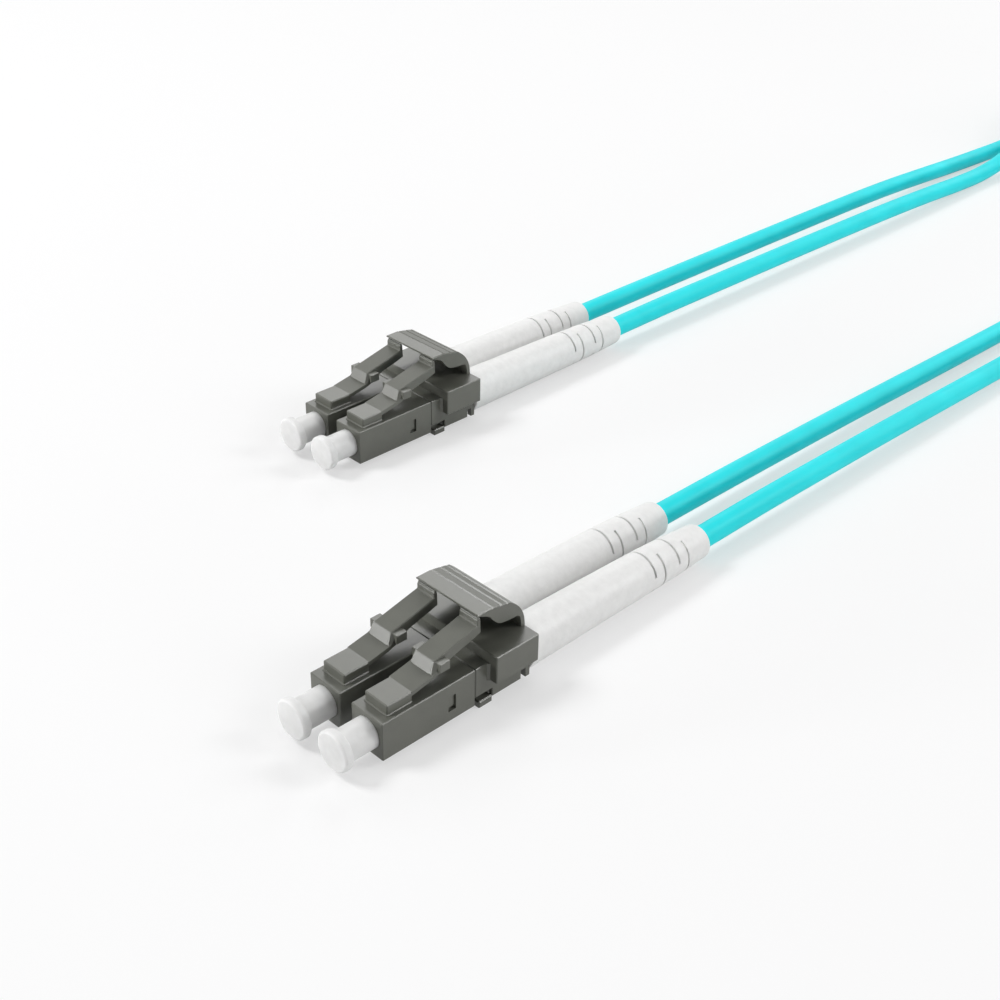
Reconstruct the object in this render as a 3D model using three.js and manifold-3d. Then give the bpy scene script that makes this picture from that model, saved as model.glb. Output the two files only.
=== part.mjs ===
// Duplex fiber optic patch cord: two duplex plugs, each with two channels, joined by two cord legs
// whose spare length is wound into one tied coil. Millimetres, +Z up, cords leave the plugs along +Y.
//
// Plug frame: x across the two channels, y rearwards from the housings' front face, z up from the
// housings' underside. Channel frame: the same, with x = 0 on the channel's own axis.

import * as THREE from 'three';
import { mergeVertices } from 'three/addons/utils/BufferGeometryUtils.js';
import Module from 'manifold-3d';

const wasm = await Module();
wasm.setup();

// ---------------------------------------------------------------- driving dimensions (mm)

// Places of the two plugs
const plugSpacing = 43.78;
const plugStagger = 33.7;

// Housing of one channel
const channelPitch = 6.25;
const housingWidth = 4.52;
const housingHeight = 4.52;
const housingLength = 12;
const frontBoreRadius = 1.78;
const frontBoreDepth = 4.4;
const webThickness = 1;
const rearCavityWidth = 3.3;
const windowSetback = 2.6;
const windowLength = 1;
const windowHeight = 1.8;
const tabRecess = 0.41;

// Latch pad on the housing, and the latch arm behind it
const padSetback = 1.17;
const padLength = 3.07;
const padHeight = 1.2;
const padBevel = 0.16;
const latchWidth = 3.26;
const lowerArmLength = 2.56;
const lowerArmRise = 0.47;
const latchThickness = 0.5;
const stepRise = 1.26;
const stepDepth = 0.52;
const upperArmWidth = 2.62;
const upperArmRise = 1.27;
const upperArmDepth = 1.28;
const shoulderWidth = 4;
const shoulderLength = 1;
const shoulderHeight = 0.9;
const lipHeight = 0.9;
const lipLength = 0.6;
const hingeGap = 0.06;

// Ferrule, holder and spring
const ferruleRadius = 0.625;
const ferruleProtrusion = 1;
const ferruleTipChamfer = 0.14;
const holderFlangeRadius = 1.45;
const holderFlangeLength = 1.5;
const holderShankRadius = 0.85;
const holderShankLength = 2.7;
const ferruleTravel = 1;
const springWireRadius = 0.12;
const springRadius = 1.1;
const springCurls = 5;

// Buffered fiber
const fiberRadius = 0.45;

// Rear body of one channel
const rearBodyWidth = 3.5;
const rearBodyLength = 6.3;
const neckRadius = 1.3;
const neckLength = 5.2;
const springBoreRadius = 1.35;
const springWall = 0.6;
const railSetback = 0.53;
const railLength = 1.87;
const railHeight = 0.84;
const railDrop = 0.71;
const railStemWidth = 2.8;

// Clip over the two rear bodies
const collarLength = 1.78;
const blockLength = 5.86;
const blockWidth = 13.16;
const blockTop = 5.72;
const blockBottom = 2.4;
const blockBevel = 0.22;
const collarFloor = 0.95;
const skirtFloor = -0.1;
const skirtLength = 4;
const legFloor = -0.17;
const legWidth = 0.7;
const legLength = 0.95;
const legOverhang = 0.35;

// Trigger on the clip
const triggerWidth = 9;
const triggerHeight = 4.38;
const triggerOverhang = 0.7;
const triggerLip = 0.3;
const triggerWall = 0.5;
const triggerBulge = 2.6;
const ridgeDepth = 0.16;
const ridgePitch = 0.95;
const ridgeCount = 3;

// Crimp sleeve and boot
const crimpRadius = 1.72;
const crimpWall = 0.25;
const crimpLength = 8;
const bootRootRadius = 2.75;
const bootMidRadius = 2.47;
const bootTipRadius = 1.95;
const bootLength = 29.36;
const bootSleeveLength = 8.2;
const bootTipRound = 0.35;
const slitWidth = 0.3;
const slitDepth = 0.5;
const slitPitch = 1.62;
const slitGroupPitch = 4.15;
const slitSetback = 10;
const slitAngle = 140;
const slitCentres = [[78, 262], [-2, 200]];

// Dust cap
const capRadius = 1.72;
const capBodyLength = 3.3;
const capDiscRadius = 2.2;
const capDiscLength = 1;
const capEdgeRound = 0.15;
const capInsertion = 3.5;
const capWall = 1;

// Cord and its coil
const cordDiameter = 2.8;
const coilCentreY = 200;
const coilMiddleRadius = 16;
const coilTurns = 5.5;
const turnPitch = 3.3;
const layerPitch = 3.3;
const tieThickness = 0.6;
const tieWidth = 6;

// Clearances
const runningClearance = 0.06;
const ferruleClearance = 0.09;
const fitClearance = 0.03;
const seatGap = 0.3;

// ---------------------------------------------------------------- values that follow

const halfPitch = channelPitch / 2;
const axisHeight = housingHeight / 2;
const webFront = frontBoreDepth;
const webRear = frontBoreDepth + webThickness;
const padRear = padSetback + padLength;
const padTop = housingHeight + padHeight;
const blockStart = housingLength + collarLength;
const blockEnd = blockStart + blockLength;
const triggerFront = blockStart - triggerOverhang;
const triggerTop = blockTop + triggerHeight;
const bootStart = blockEnd + runningClearance;
const bootEnd = blockEnd + bootLength;
const rearBodyEnd = housingLength + rearBodyLength;
const neckEnd = rearBodyEnd + neckLength;
const holderFlangeEnd = webRear + holderFlangeLength;
const holderEnd = holderFlangeEnd + holderShankLength;
const noseStart = holderFlangeEnd + ferruleTravel + 0.1;
const noseWidth = rearCavityWidth - 2 * runningClearance;
const springSeat = housingLength - springWall;
const fiberStart = holderFlangeEnd + ferruleTravel + seatGap;
const windowStart = housingLength - windowSetback - windowLength;
const railStart = housingLength + railSetback;
const railEnd = railStart + railLength;
const railTop = railHeight - railDrop;
const crimpBore = crimpRadius - crimpWall;
const crimpEnd = rearBodyEnd + crimpLength;
const capReach = capBodyLength + capDiscLength;
const capBoreRadius = ferruleRadius + ferruleClearance;
const cordRadius = cordDiameter / 2;
const cordBoreRadius = cordRadius + runningClearance;

// The origin is under the middle of the two plugs, on the surface that their rails stand on
const plugBFront = (capReach - bootEnd - plugStagger) / 2;
const plugAFront = plugBFront + plugStagger;

// Directions of the channel's sections
const X = new THREE.Vector3(1, 0, 0);
const Y = new THREE.Vector3(0, 1, 0);
const Z = new THREE.Vector3(0, 0, 1);

// ---------------------------------------------------------------- materials

function finish(color, roughness, metalness = 0) {
  return new THREE.MeshStandardMaterial({ color, roughness, metalness });
}

const greyPlastic = () => finish(0x6b6b64, 0.5);
const whiteRubber = () => finish(0xe8e8e4, 0.55);
const capPlastic = () => finish(0xf0f0ec, 0.45);
const ceramic = () => finish(0xf6f6f2, 0.2);
const steel = () => finish(0xb9bcc0, 0.35, 1);
const brass = () => finish(0xc7ccd0, 0.3, 1);
const aquaJacket = () => finish(0x2dd0d6, 0.4);
const fiberBuffer = () => finish(0x37c8cf, 0.45);
const tieFabric = () => finish(0x2c2d2b, 0.8);

// ---------------------------------------------------------------- geometry helpers

// One closed indexed surface: shared vertices merged and collapsed triangles dropped
function welded(geometry) {
  const bare = geometry.clone();
  for (const name of Object.keys(bare.attributes)) {
    if (name !== 'position') bare.deleteAttribute(name);
  }
  const merged = mergeVertices(bare, 1e-4);
  const index = merged.getIndex().array;
  const kept = [];
  for (let i = 0; i < index.length; i += 3) {
    const [a, b, c] = [index[i], index[i + 1], index[i + 2]];
    if (a !== b && b !== c && c !== a) kept.push(a, b, c);
  }
  merged.setIndex(kept);
  return merged;
}

function toManifold(geometry) {
  const closed = welded(geometry);
  const vertProperties = new Float32Array(closed.getAttribute('position').array);
  const triVerts = new Uint32Array(closed.getIndex().array);
  return new wasm.Manifold(new wasm.Mesh({ numProp: 3, vertProperties, triVerts }));
}

function fromManifold(manifold) {
  const mesh = manifold.getMesh();
  const geometry = new THREE.BufferGeometry();
  geometry.setAttribute('position', new THREE.BufferAttribute(mesh.vertProperties, 3));
  geometry.setIndex(new THREE.BufferAttribute(mesh.triVerts, 1));
  return geometry;
}

// The joined solids, less the cutters
function carved(parts, cutters = []) {
  let body = toManifold(parts[0]);
  for (const part of parts.slice(1)) body = body.add(toManifold(part));
  for (const cutter of cutters) body = body.subtract(toManifold(cutter));
  return fromManifold(body);
}

function block(x, y, z) {
  const geometry = new THREE.BoxGeometry(x[1] - x[0], y[1] - y[0], z[1] - z[0]);
  return geometry.translate((x[0] + x[1]) / 2, (y[0] + y[1]) / 2, (z[0] + z[1]) / 2);
}

// A block whose width is centred on x = 0
function centred(width, y, z) {
  return block([-width / 2, width / 2], y, z);
}

// A (y, z) outline drawn out along x, centred on x = 0
function sidewaysExtrusion(shape, width, curveSegments = 3) {
  const geometry = new THREE.ExtrudeGeometry(shape, { depth: width, bevelEnabled: false, curveSegments });
  geometry.translate(0, 0, -width / 2);
  return geometry.applyMatrix4(new THREE.Matrix4().makeBasis(Y, Z, X));
}

// A closed profile of [radius, y] pairs turned about the channel's axis
function turned(profile, segments = 16) {
  const points = profile.map(([radius, y]) => new THREE.Vector2(radius, y));
  const geometry = new THREE.LatheGeometry(points, segments);
  return geometry.translate(0, 0, axisHeight);
}

function rod(radius, from, to, segments = 16) {
  return turned([[0, from], [radius, from], [radius, to], [0, to]], segments);
}

function outline(points) {
  return new THREE.Shape(points.map(([x, y]) => new THREE.Vector2(x, y)));
}

// A tube of flat-sided section along centres, where side[i] points away from the bend's centre
// and up is square to the bend's plane
function sweptTube(centres, sides, up, radius, corners) {
  const vertices = [];
  const triangles = [];
  centres.forEach((centre, i) => {
    for (let k = 0; k < corners; k += 1) {
      const angle = (2 * Math.PI * (k + 0.5)) / corners;
      const corner = centre.clone();
      corner.addScaledVector(sides[i], radius * Math.cos(angle));
      corner.addScaledVector(up, radius * Math.sin(angle));
      vertices.push(corner.x, corner.y, corner.z);
    }
  });
  const last = (centres.length - 1) * corners;
  for (let i = 0; i < centres.length - 1; i += 1) {
    for (let k = 0; k < corners; k += 1) {
      const a = i * corners + k;
      const b = i * corners + ((k + 1) % corners);
      triangles.push(a, a + corners, b, b, a + corners, b + corners);
    }
  }
  for (let k = 1; k < corners - 1; k += 1) {
    triangles.push(0, k, k + 1);
    triangles.push(last, last + k + 1, last + k);
  }
  const geometry = new THREE.BufferGeometry();
  geometry.setAttribute('position', new THREE.BufferAttribute(new Float32Array(vertices), 3));
  geometry.setIndex(triangles);
  return geometry;
}

// The least distance between two stretches of one wound tube that are over half a turn apart
function leastGap(centres, diameter, apart) {
  let least = Infinity;
  for (let i = 0; i < centres.length; i += 1) {
    for (let j = i + apart; j < centres.length; j += 1) {
      least = Math.min(least, centres[i].distanceTo(centres[j]) - diameter);
    }
  }
  return least;
}

function addMesh(group, name, geometry, material) {
  const mesh = new THREE.Mesh(welded(geometry), material);
  mesh.name = name;
  group.add(mesh);
}

// ---------------------------------------------------------------- pieces of one channel

// Square housing with the latch pad on its front end, a stepped bore and a window in each side
function housingSolid() {
  const shell = centred(housingWidth, [0, housingLength], [0, housingHeight]);
  const pad = sidewaysExtrusion(outline([
    [padSetback, housingHeight - 0.5],
    [padRear, housingHeight - 0.5],
    [padRear, padTop],
    [padSetback + padBevel, padTop],
    [padSetback, padTop - padBevel],
  ]), latchWidth);
  const half = rearCavityWidth / 2;
  return carved([shell, pad], [
    rod(frontBoreRadius, -1, webFront, 20),
    rod(ferruleRadius + ferruleClearance, -1, housingLength, 16),
    centred(rearCavityWidth, [webRear, housingLength + 1], [axisHeight - half, axisHeight + half]),
    centred(
      housingWidth + 2,
      [windowStart, windowStart + windowLength],
      [axisHeight - windowHeight / 2, axisHeight + windowHeight / 2],
    ),
  ]);
}

// Latch arm: thin lower arm, step, sloping upper arm with shoulders, and a lip at the rear end
function latchSolid() {
  const root = padRear + hingeGap;
  const step = root + lowerArmLength;
  const stepBase = padTop + lowerArmRise;
  const stepTop = stepBase + stepRise;
  const armStart = step + stepDepth;
  const lipFoot = triggerFront - triggerLip / 2;
  const armEnd = lipFoot + lipLength;
  const lipFootZ = stepTop + upperArmRise;
  const lowerArm = sidewaysExtrusion(outline([
    [root, padTop - latchThickness],
    [step, stepBase - latchThickness],
    [armStart + shoulderLength / 2, stepBase],
    [armStart + shoulderLength / 2, stepBase + latchThickness],
    [armStart, stepBase + latchThickness],
    [step, stepBase],
    [root, padTop],
  ]), latchWidth);
  const upperArm = sidewaysExtrusion(outline([
    [step, stepBase - latchThickness],
    [armStart + shoulderLength, stepTop - upperArmDepth],
    [armEnd + 0.1, lipFootZ - upperArmDepth + 0.3],
    [armEnd, lipFootZ + lipHeight - 0.15],
    [armEnd - 0.15, lipFootZ + lipHeight],
    [lipFoot + 0.15, lipFootZ + lipHeight],
    [lipFoot, lipFootZ],
    [armStart, stepTop],
    [step, stepBase],
  ]), upperArmWidth);
  const shoulder = centred(
    shoulderWidth,
    [armStart + shoulderLength / 2, armStart + shoulderLength * 1.5],
    [stepTop - upperArmDepth + 0.2, stepTop - upperArmDepth + 0.2 + shoulderHeight],
  );
  return carved([lowerArm, upperArm, shoulder]);
}

function ferruleSolid() {
  const tip = -ferruleProtrusion;
  return turned([
    [0, tip],
    [ferruleRadius - ferruleTipChamfer, tip],
    [ferruleRadius, tip + ferruleTipChamfer],
    [ferruleRadius, holderFlangeEnd],
    [0, holderFlangeEnd],
  ]);
}

// Metal holder: flange pressed on the ferrule and a hollow shank that guides the spring
function ferruleHolderSolid() {
  const ferruleBore = ferruleRadius + fitClearance;
  const fiberBore = fiberRadius + runningClearance;
  return turned([
    [ferruleBore, webRear],
    [holderFlangeRadius, webRear],
    [holderFlangeRadius, holderFlangeEnd],
    [holderShankRadius, holderFlangeEnd],
    [holderShankRadius, holderEnd],
    [fiberBore, holderEnd],
    [fiberBore, holderFlangeEnd + fitClearance],
    [ferruleBore, holderFlangeEnd + fitClearance],
    [ferruleBore, webRear],
  ]);
}

// Helical spring between the holder's flange and the rear body
function springSolid() {
  const stepsPerCurl = 8;
  const steps = springCurls * stepsPerCurl;
  const from = holderFlangeEnd + springWireRadius + runningClearance;
  const to = springSeat - springWireRadius - runningClearance;
  const centres = [];
  const sides = [];
  for (let i = 0; i <= steps; i += 1) {
    const angle = (2 * Math.PI * i) / stepsPerCurl;
    const side = new THREE.Vector3(Math.cos(angle), 0, -Math.sin(angle));
    const centre = side.clone().multiplyScalar(springRadius);
    centre.y = from + ((to - from) * i) / steps;
    centre.z += axisHeight;
    centres.push(centre);
    sides.push(side);
  }
  return sweptTube(centres, sides, Y, springWireRadius, 5);
}

// Rear body: nose in the housing with a snap tab for each window, shank in the clip, rail under
// the clip and a neck for the crimp
function rearBodySolid() {
  const half = rearBodyWidth / 2;
  const nose = centred(
    noseWidth,
    [noseStart, housingLength + 0.5],
    [axisHeight - noseWidth / 2, axisHeight + noseWidth / 2],
  );
  const tabs = centred(
    housingWidth - 2 * tabRecess,
    [windowStart + runningClearance, windowStart + windowLength - runningClearance],
    [axisHeight - windowHeight / 2 + runningClearance, axisHeight + windowHeight / 2 - runningClearance],
  );
  const shank = centred(rearBodyWidth, [housingLength, rearBodyEnd], [axisHeight - half, axisHeight + half]);
  const stem = centred(railStemWidth, [railStart, railEnd], [railTop - 0.2, axisHeight]);
  const rail = centred(housingWidth, [railStart, railEnd], [-railDrop, railTop]);
  const neck = rod(neckRadius, rearBodyEnd - 0.5, neckEnd);
  return carved([nose, tabs, shank, stem, rail, neck], [
    rod(springBoreRadius, noseStart - 1, springSeat),
    rod(fiberRadius + runningClearance, springSeat - 1, neckEnd + 1, 8),
  ]);
}

function fiberSolid() {
  return rod(fiberRadius, fiberStart, neckEnd, 8);
}

// Metal sleeve crimped over the neck and the jacket's end
function crimpSleeveSolid() {
  const start = rearBodyEnd + runningClearance;
  return turned([
    [crimpBore, start],
    [crimpRadius, start],
    [crimpRadius, crimpEnd],
    [crimpBore, crimpEnd],
    [crimpBore, start],
  ]);
}

function bootRadiusAt(y) {
  const middle = bootStart + (bootEnd - bootStart) * 0.68;
  if (y < middle) {
    return bootRootRadius + ((bootMidRadius - bootRootRadius) * (y - bootStart)) / (middle - bootStart);
  }
  const share = (y - middle) / (bootEnd - middle);
  return bootMidRadius + (bootTipRadius - bootMidRadius) * share ** 1.4;
}

// One curved slot part of the way round the boot, centred on an angle measured from +x to +z
function slitCutter(y, centreAngle) {
  const inner = bootRadiusAt(y) - slitDepth;
  const outer = bootRootRadius + 1;
  const start = THREE.MathUtils.degToRad(centreAngle - slitAngle / 2);
  const end = THREE.MathUtils.degToRad(centreAngle + slitAngle / 2);
  const shape = new THREE.Shape();
  shape.absarc(0, 0, outer, start, end, false);
  shape.absarc(0, 0, inner, end, start, true);
  const geometry = new THREE.ExtrudeGeometry(shape, {
    depth: slitWidth,
    bevelEnabled: false,
    curveSegments: 5,
  });
  geometry.rotateX(Math.PI / 2);
  return geometry.translate(0, y + slitWidth / 2, axisHeight);
}

// Tapered boot with a wide bore over the crimp, a bore for the cord, and two pairs of slit rings
function bootSolid() {
  const sleeveEnd = bootStart + bootSleeveLength;
  const sleeveBore = crimpRadius + runningClearance;
  const profile = [[sleeveBore, bootStart], [bootRootRadius, bootStart]];
  for (const share of [0.34, 0.68, 0.84, 0.93]) {
    const y = bootStart + (bootEnd - bootStart) * share;
    profile.push([bootRadiusAt(y), y]);
  }
  profile.push([bootTipRadius, bootEnd - bootTipRound]);
  profile.push([bootTipRadius - bootTipRound, bootEnd]);
  profile.push([cordBoreRadius, bootEnd]);
  profile.push([cordBoreRadius, sleeveEnd], [sleeveBore, sleeveEnd], [sleeveBore, bootStart]);
  const cutters = [];
  for (const group of [0, 1]) {
    for (const ring of [0, 1]) {
      const y = bootEnd - slitSetback + group * slitGroupPitch + ring * slitPitch;
      for (const centreAngle of slitCentres[ring]) cutters.push(slitCutter(y, centreAngle));
    }
  }
  return carved([turned(profile, 24)], cutters);
}

// End of the cord's jacket, held in the crimp sleeve and the boot
function jacketEndSolid() {
  return rod(cordRadius, neckEnd + fitClearance, bootEnd - fitClearance, 12);
}

// Cap with a grip disc, pushed into the front bore over the ferrule
function dustCapSolid() {
  const front = -capReach;
  const discRear = -capBodyLength;
  const boreFloor = -ferruleProtrusion - capWall;
  return turned([
    [0, front],
    [capDiscRadius - capEdgeRound, front],
    [capDiscRadius, front + capEdgeRound],
    [capDiscRadius, discRear - capEdgeRound],
    [capDiscRadius - capEdgeRound, discRear],
    [capRadius, discRear],
    [capRadius, capInsertion],
    [capBoreRadius, capInsertion],
    [capBoreRadius, boreFloor],
    [0, boreFloor],
  ], 24);
}

// ---------------------------------------------------------------- pieces of one plug

// Clip: collar, block, skirt and rear legs in one piece, open below over the two rear bodies
function clipSolid() {
  const outerWidth = channelPitch + housingWidth;
  const skirtStart = railEnd + runningClearance;
  const blockShape = outline([
    [blockStart, blockBottom],
    [blockEnd, blockBottom],
    [blockEnd, blockTop],
    [blockStart + blockBevel, blockTop],
    [blockStart, blockTop - blockBevel],
  ]);
  const parts = [
    sidewaysExtrusion(blockShape, blockWidth),
    centred(outerWidth, [housingLength, blockStart + 1], [collarFloor, housingHeight]),
    centred(outerWidth, [skirtStart, skirtStart + skirtLength], [skirtFloor, blockBottom + 0.5]),
    centred(outerWidth, [blockStart, skirtStart + skirtLength], [collarFloor, blockBottom + 0.5]),
  ];
  const legRear = blockEnd + legOverhang;
  for (const side of [-1, 1]) {
    const edge = (side * outerWidth) / 2;
    const inner = edge - side * legWidth;
    const across = [Math.min(edge, inner), Math.max(edge, inner)];
    const rootZ = blockBottom + 0.5;
    parts.push(block(across, [legRear - legLength, legRear], [legFloor, axisHeight]));
    parts.push(block(across, [legRear - legLength, blockEnd], [legFloor, rootZ]));
    parts.push(block(across, [skirtStart, legRear], [collarFloor, rootZ - 0.2]));
  }
  const cavity = rearBodyWidth + 2 * runningClearance;
  const roof = axisHeight + cavity / 2;
  const cutters = [];
  for (const side of [-1, 1]) {
    const x = side * halfPitch;
    const channel = centred(cavity, [housingLength - 1, rearBodyEnd + runningClearance], [-2, roof]);
    const rear = centred(cavity, [rearBodyEnd, blockEnd + 1], [-2, roof]);
    const saddle = rod(bootRootRadius + seatGap, blockEnd, blockEnd + 2, 24);
    cutters.push(channel.translate(x, 0, 0), rear.translate(x, 0, 0), saddle.translate(x, 0, 0));
  }
  return carved(parts, cutters);
}

// Side outline of the trigger: flat top with steps, round back, thick bulge below and a thin wall
// down to its foot on the clip
function triggerOutline() {
  const foot = blockTop + hingeGap;
  const ridgeStart = triggerFront + 1.62;
  const wallInside = blockEnd - triggerWall;
  const shape = new THREE.Shape();
  shape.moveTo(triggerFront, triggerTop - triggerLip);
  shape.lineTo(triggerFront + 0.5, triggerTop - triggerLip);
  shape.lineTo(triggerFront + 1.5, triggerTop - 0.85);
  shape.lineTo(triggerFront + 2.2, triggerTop - 1.75);
  shape.quadraticCurveTo(
    triggerFront + 2.8,
    triggerTop - triggerBulge,
    triggerFront + 4,
    triggerTop - triggerBulge - 0.05,
  );
  shape.lineTo(wallInside - 0.65, triggerTop - triggerBulge - 0.1);
  shape.lineTo(wallInside - 0.25, triggerTop - triggerBulge - 0.35);
  shape.lineTo(wallInside, foot);
  shape.lineTo(blockEnd, foot);
  shape.lineTo(blockEnd - 0.08, foot + 0.9);
  shape.quadraticCurveTo(blockEnd - 0.45, foot + 2.3, blockEnd - 2.05, foot + 3.5);
  for (let ridge = ridgeCount - 1; ridge >= 0; ridge -= 1) {
    const y = ridgeStart + ridge * ridgePitch;
    const top = triggerTop - ridge * ridgeDepth * 0.75;
    shape.lineTo(y + 0.06, top - ridgeDepth);
    shape.lineTo(y, top);
  }
  shape.lineTo(triggerFront, triggerTop);
  shape.closePath();
  return shape;
}

function triggerSolid() {
  return sidewaysExtrusion(triggerOutline(), triggerWidth, 4);
}

function addChannel(plug, tag, x) {
  const channel = new THREE.Group();
  channel.position.x = x;
  plug.add(channel);
  addMesh(channel, `dust_cap_${tag}`, dustCapSolid(), capPlastic());
  addMesh(channel, `housing_${tag}`, housingSolid(), greyPlastic());
  addMesh(channel, `latch_${tag}`, latchSolid(), greyPlastic());
  addMesh(channel, `ferrule_${tag}`, ferruleSolid(), ceramic());
  addMesh(channel, `ferrule_holder_${tag}`, ferruleHolderSolid(), brass());
  addMesh(channel, `spring_${tag}`, springSolid(), steel());
  addMesh(channel, `fiber_${tag}`, fiberSolid(), fiberBuffer());
  addMesh(channel, `rear_body_${tag}`, rearBodySolid(), greyPlastic());
  addMesh(channel, `crimp_sleeve_${tag}`, crimpSleeveSolid(), steel());
  addMesh(channel, `jacket_end_${tag}`, jacketEndSolid(), aquaJacket());
  addMesh(channel, `boot_${tag}`, bootSolid(), whiteRubber());
}

function addPlug(model, tag, x, front) {
  const plug = new THREE.Group();
  plug.position.set(x, front, railDrop);
  model.add(plug);
  addChannel(plug, `${tag}1`, -halfPitch);
  addChannel(plug, `${tag}2`, halfPitch);
  addMesh(plug, `clip_${tag}`, clipSolid(), greyPlastic());
  addMesh(plug, `trigger_${tag}`, triggerSolid(), greyPlastic());
}

// ---------------------------------------------------------------- cords and coil

// Free stretches, as [x, y, z] points on the cord's centre line. The outer leg joins channel b2 to
// channel a1, the inner leg joins b1 to a2. Each stretch leaves its boot level, sinks to the
// surface and rises to its layer of the coil.
const outerLegFromB = [
  [25.015, 10.1, 2.97], [25.015, 22, 2.8], [25.01, 34, 2.66], [25, 46, 2.47], [25, 58, 2.2],
  [25, 70, 1.9], [25, 82, 1.65], [25, 94, 1.47], [25, 106, 1.42], [24.9, 118, 1.42],
  [24.5, 130, 1.42], [23.8, 142, 1.42], [22.9, 154, 1.46], [21.9, 166, 1.6], [21.1, 178, 1.85],
  [20.65, 188, 1.98], [20.54, 196.9, 2.03],
];
const innerLegFromB = [
  [18.765, 10.1, 2.97], [18.765, 22, 2.8], [18.765, 34, 2.66], [18.765, 46, 2.47], [18.765, 58, 2.2],
  [18.765, 70, 1.9], [18.765, 82, 1.65], [18.765, 94, 1.47], [18.765, 106, 1.42], [18.77, 118, 1.42],
  [18.8, 130, 1.6], [18.9, 142, 2.5], [19.1, 154, 4.2], [19.5, 166, 6.4], [20, 178, 8.2],
  [20.45, 188, 8.6], [20.54, 196.9, 8.63],
];
const outerLegFromA = [
  [-25.015, 43.8, 2.97], [-25.015, 56, 2.97], [-25.015, 68, 2.97], [-25.015, 80, 2.97], [-25.015, 92, 2.94],
  [-25.015, 104, 2.9], [-25.015, 116, 2.8], [-25.015, 126, 2.55], [-25.015, 136, 2.1], [-25, 146, 1.62],
  [-24.8, 154, 1.44], [-24.2, 163, 1.6], [-23, 172, 2.6], [-21.6, 182, 4.3], [-20.75, 190, 5.2],
  [-20.54, 196.9, 5.33],
];
const innerLegFromA = [
  [-18.765, 43.8, 2.97], [-18.765, 56, 2.96], [-18.765, 68, 2.92], [-18.765, 80, 2.86], [-18.765, 92, 2.78],
  [-18.765, 104, 2.68], [-18.765, 116, 2.5], [-18.765, 128, 2.15], [-18.765, 138, 1.75], [-18.77, 146, 1.75],
  [-18.8, 153, 2.6], [-18.95, 161, 4.3], [-19.3, 170, 6.9], [-19.9, 180, 9.8], [-20.4, 189, 11.65],
  [-20.54, 196.9, 11.93],
];

function cordStretchSolid(points, steps) {
  const corners = [];
  for (let k = 0; k < 8; k += 1) {
    const angle = (2 * Math.PI * (k + 0.5)) / 8;
    corners.push([cordRadius * Math.cos(angle), cordRadius * Math.sin(angle)]);
  }
  const extrudePath = new THREE.CatmullRomCurve3(points.map((point) => new THREE.Vector3(...point)));
  return new THREE.ExtrudeGeometry(outline(corners), { steps, extrudePath, bevelEnabled: false });
}

const coilInnerRadius = coilMiddleRadius - (turnPitch * coilTurns) / 4;
const coilFloor = tieThickness + fitClearance + cordRadius;

// Distance of the coil's centre line from its axis, after some turns
function coilRadiusAt(turns) {
  return coilInnerRadius + turnPitch * Math.abs(turns - coilTurns / 2);
}

// Centre line of one leg's coil: it spirals in over its lower layer, climbs in the half turn where
// the spiral reverses, and spirals out over its upper layer
function coilCentreLine(lowerLayer) {
  const stepsPerTurn = 24;
  const steps = coilTurns * stepsPerTurn;
  const centres = [];
  const sides = [];
  for (let i = 0; i <= steps; i += 1) {
    const turns = i / stepsPerTurn;
    const angle = 2 * Math.PI * turns;
    const climb = THREE.MathUtils.smoothstep(turns, coilTurns / 2 - 0.25, coilTurns / 2 + 0.25);
    const side = new THREE.Vector3(Math.cos(angle), Math.sin(angle), 0);
    const centre = side.clone().multiplyScalar(coilRadiusAt(turns));
    centre.y += coilCentreY;
    centre.z = coilFloor + layerPitch * (lowerLayer + climb);
    centres.push(centre);
    sides.push(side);
  }
  const entry = centres[0].clone().setY(coilCentreY - cordDiameter);
  const exit = centres[steps].clone().setY(coilCentreY - cordDiameter);
  return {
    centres: [entry, ...centres, exit],
    sides: [sides[0], ...sides, sides[steps]],
  };
}

function coilSolid(lowerLayer) {
  const { centres, sides } = coilCentreLine(lowerLayer);
  return sweptTube(centres, sides, Z, cordRadius, 6);
}

// Band round the coil's section, above the coil's centre (+1) or below it (-1) as seen from the top
function tieSolid(direction) {
  const passes = [];
  for (let turns = direction > 0 ? 0.25 : 0.75; turns < coilTurns; turns += 1) {
    passes.push(coilRadiusAt(turns));
  }
  const near = Math.sqrt(Math.min(...passes) ** 2 - (tieWidth / 2) ** 2) - cordRadius - seatGap;
  const far = Math.max(...passes) + cordRadius + seatGap;
  const inside = coilFloor + 3 * layerPitch + cordRadius + fitClearance;
  const top = inside + tieThickness;
  const round = cordRadius;
  const y = (distance) => coilCentreY + direction * distance;
  const ring = (from, to, low, high, corner) => {
    const [a, b] = [Math.min(y(from), y(to)), Math.max(y(from), y(to))];
    return outline([
      [a + corner, low],
      [b - corner, low],
      [b, low + corner],
      [b, high - corner],
      [b - corner, high],
      [a + corner, high],
      [a, high - corner],
      [a, low + corner],
    ]);
  };
  const outer = ring(near - tieThickness, far + tieThickness, 0, top, round * 0.6);
  const inner = ring(near, far, tieThickness, inside, round * 0.35);
  return carved([sidewaysExtrusion(outer, tieWidth)], [sidewaysExtrusion(inner, tieWidth + 2)]);
}

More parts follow.
